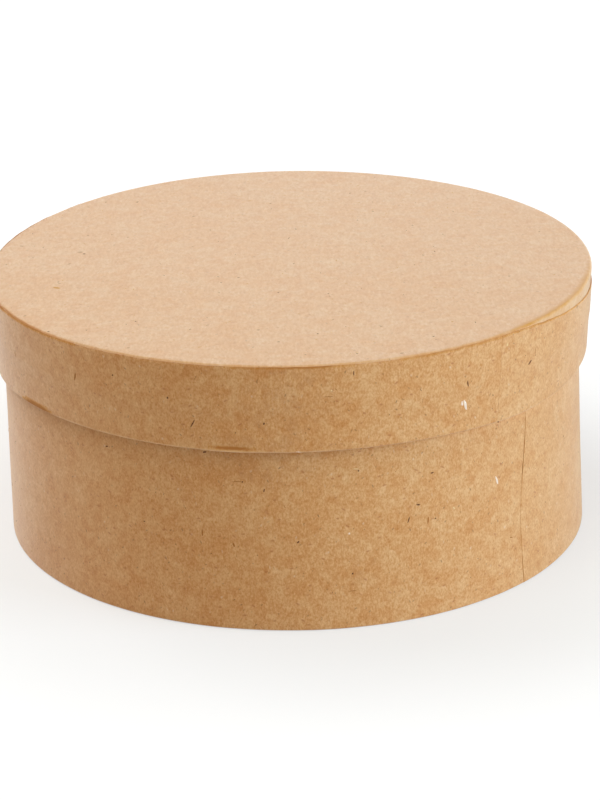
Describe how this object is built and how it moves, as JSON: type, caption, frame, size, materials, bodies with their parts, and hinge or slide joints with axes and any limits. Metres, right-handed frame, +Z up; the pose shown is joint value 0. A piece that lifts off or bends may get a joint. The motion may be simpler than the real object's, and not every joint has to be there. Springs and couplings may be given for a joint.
{
  "type": "round lidded box",
  "caption": "Plain round box of paper-covered board with straight walls and a deep lift-off lid that slips over them.",
  "frame": {"origin": "on the surface the box stands on, under the middle of the box", "axes": "+Z up along the axis of the box, front at -Y, +X to the right seen from the front"},
  "size_m": [0.1544, 0.1544, 0.0695],
  "materials": {
    "kraft_wrap": "matt unbleached kraft paper glued over rolled board, grain upright, with fine brown fibres and a worn fold",
    "kraft_panel": "matt unbleached kraft paper glued flat, grain across the box, with pale and brown fibres",
    "kraft_lining": "matt unbleached kraft paper, clean and unworn",
    "greyboard": "solid recycled board, matt grey-brown with flecks, hidden under the paper"
  },
  "bodies": {
    "box": {"wall_board": "greyboard", "base_board": "greyboard", "wall_wrap": "kraft_wrap", "base_cover": "kraft_panel", "wall_lining": "kraft_lining", "floor_lining": "kraft_lining"},
    "lid": {"rim_board": "greyboard", "lid_board": "greyboard", "lid_cover": "kraft_panel", "rim_wrap": "kraft_wrap", "rim_lining": "kraft_lining", "lid_lining": "kraft_lining"}
  },
  "joints": [
    {"name": "lid_lift", "type": "slide", "parent": "box", "child": "lid", "axis": [0, 0, 1], "range_m": [0, 0.08]}
  ]
}
